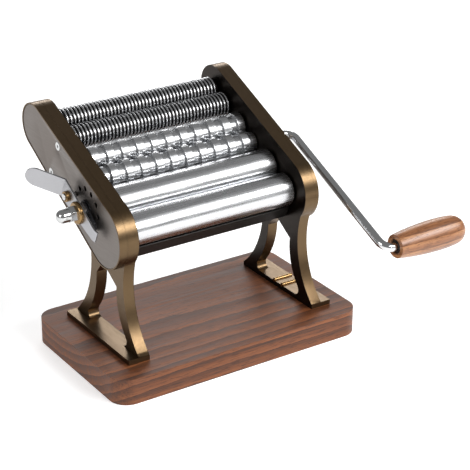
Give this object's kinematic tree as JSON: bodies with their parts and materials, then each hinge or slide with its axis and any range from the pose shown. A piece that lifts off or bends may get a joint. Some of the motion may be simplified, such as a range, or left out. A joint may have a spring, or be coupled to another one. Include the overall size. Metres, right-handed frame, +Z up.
{
  "type": "pasta roller machine",
  "caption": "Hand-cranked pasta roller machine on a wooden board: smooth rollers with a stepped thickness lever, and wide and fine noodle cutters in one tilted row.",
  "frame": {"origin": "centre of the wooden board's underside", "axes": "+X along the rollers towards the crank, +Y from the front edge to the back, +Z up"},
  "size_m": [0.3071, 0.2179, 0.1835],
  "materials": {
    "board_wood": "oiled dark brown, grain along the board",
    "frame_bronze": "bronze-coloured hammered finish, satin",
    "cover_plate": "brushed, warm grey",
    "roller_metal": "polished",
    "gear_steel": "machined",
    "bar_black": "black, semi-gloss",
    "bronze_metal": "satin",
    "fastener_steel": "bright plated",
    "dark_steel": "dark, satin",
    "block_steel": "machined",
    "lever_steel": "satin",
    "crank_steel": "bright plated",
    "grip_wood": "varnished light brown",
    "collar_dark": "dark"
  },
  "bodies": {
    "stand": {"base_board": "board_wood", "board_screws": "dark_steel", "left_frame": "frame_bronze", "right_frame": "frame_bronze", "left_housing": "frame_bronze", "right_housing": "frame_bronze", "left_cover": "cover_plate", "right_cover": "cover_plate", "left_cover_screws": "fastener_steel", "right_cover_screws": "fastener_steel", "tie_rods": "dark_steel", "tie_rod_screws": "dark_steel", "left_bushes": "bronze_metal", "right_bushes": "bronze_metal", "rear_scraper": "bar_black", "wide_combs": "gear_steel", "fine_combs": "gear_steel", "clamp_guide_bars": "bronze_metal", "adjuster_bush": "dark_steel", "carriage_spring": "block_steel"},
    "carriage": {"left_bearing_block": "block_steel", "right_bearing_block": "block_steel", "carriage_bar": "bar_black", "carriage_bar_screws": "dark_steel"},
    "adjuster": {"adjuster_shaft": "block_steel", "adjuster_cam": "bronze_metal", "lever_backing_bar": "dark_steel", "lock_nut": "fastener_steel", "adjuster_lever": "lever_steel", "index_bush": "bronze_metal", "lever_collar": "bronze_metal", "acorn_nut": "fastener_steel"},
    "index_pin": {"index_pin": "fastener_steel"},
    "front_smooth": {"front_smooth_roller": "roller_metal", "front_smooth_gear": "gear_steel"},
    "rear_smooth": {"rear_smooth_roller": "roller_metal", "rear_smooth_gear": "gear_steel"},
    "crank": {"front_wide_cutter": "roller_metal", "front_wide_gear": "gear_steel", "crank_hub": "lever_steel", "crank_rod": "crank_steel", "hub_screw": "dark_steel", "grip_screw": "fastener_steel"},
    "rear_wide": {"rear_wide_cutter": "roller_metal", "rear_wide_gear": "gear_steel"},
    "front_fine": {"front_fine_cutter": "roller_metal", "front_fine_gear": "gear_steel"},
    "rear_fine": {"rear_fine_cutter": "roller_metal", "rear_fine_gear": "gear_steel"},
    "grip": {"grip": "grip_wood", "grip_collar": "collar_dark"}
  },
  "joints": [
    {"name": "adjuster_turn", "type": "hinge", "parent": "stand", "child": "adjuster", "pos_m": [-0.0893, 0.01521, 0.12396], "axis": [1, 0, 0], "range_deg": [0, 150]},
    {"name": "index_pin_push", "type": "slide", "parent": "adjuster", "child": "index_pin", "axis": [1, 0, 0], "range_m": [0, 0.0012]},
    {"name": "carriage_slide", "type": "slide", "parent": "stand", "child": "carriage", "axis": [0, -0.8965, -0.4431], "range_m": [0, 0.0024]},
    {"name": "rear_smooth_spin", "type": "hinge", "parent": "stand", "child": "rear_smooth", "pos_m": [0.002, 0.01521, 0.12396], "axis": [1, 0, 0], "continuous": true},
    {"name": "front_smooth_spin", "type": "hinge", "parent": "carriage", "child": "front_smooth", "pos_m": [0.002, -0.009, 0.112], "axis": [1, 0, 0], "continuous": true},
    {"name": "crank_spin", "type": "hinge", "parent": "stand", "child": "crank", "pos_m": [0.002, 0.03923, 0.13584], "axis": [1, 0, 0], "continuous": true},
    {"name": "rear_wide_spin", "type": "hinge", "parent": "stand", "child": "rear_wide", "pos_m": [0.002, 0.05716, 0.1447], "axis": [1, 0, 0], "continuous": true},
    {"name": "front_fine_spin", "type": "hinge", "parent": "stand", "child": "front_fine", "pos_m": [0.002, 0.07975, 0.15586], "axis": [1, 0, 0], "continuous": true},
    {"name": "rear_fine_spin", "type": "hinge", "parent": "stand", "child": "rear_fine", "pos_m": [0.002, 0.09679, 0.16428], "axis": [1, 0, 0], "continuous": true},
    {"name": "grip_spin", "type": "hinge", "parent": "crank", "child": "grip", "pos_m": [0.152, -0.08889, 0.08066], "axis": [1, 0, 0], "continuous": true}
  ],
  "couplings": [
    {"joint": "adjuster_turn", "follows": "carriage_slide", "rad_per_m": 1090.8},
    {"joint": "front_smooth_spin", "follows": "rear_smooth_spin", "ratio": -1},
    {"joint": "rear_wide_spin", "follows": "crank_spin", "ratio": -1},
    {"joint": "rear_fine_spin", "follows": "front_fine_spin", "ratio": -1}
  ]
}
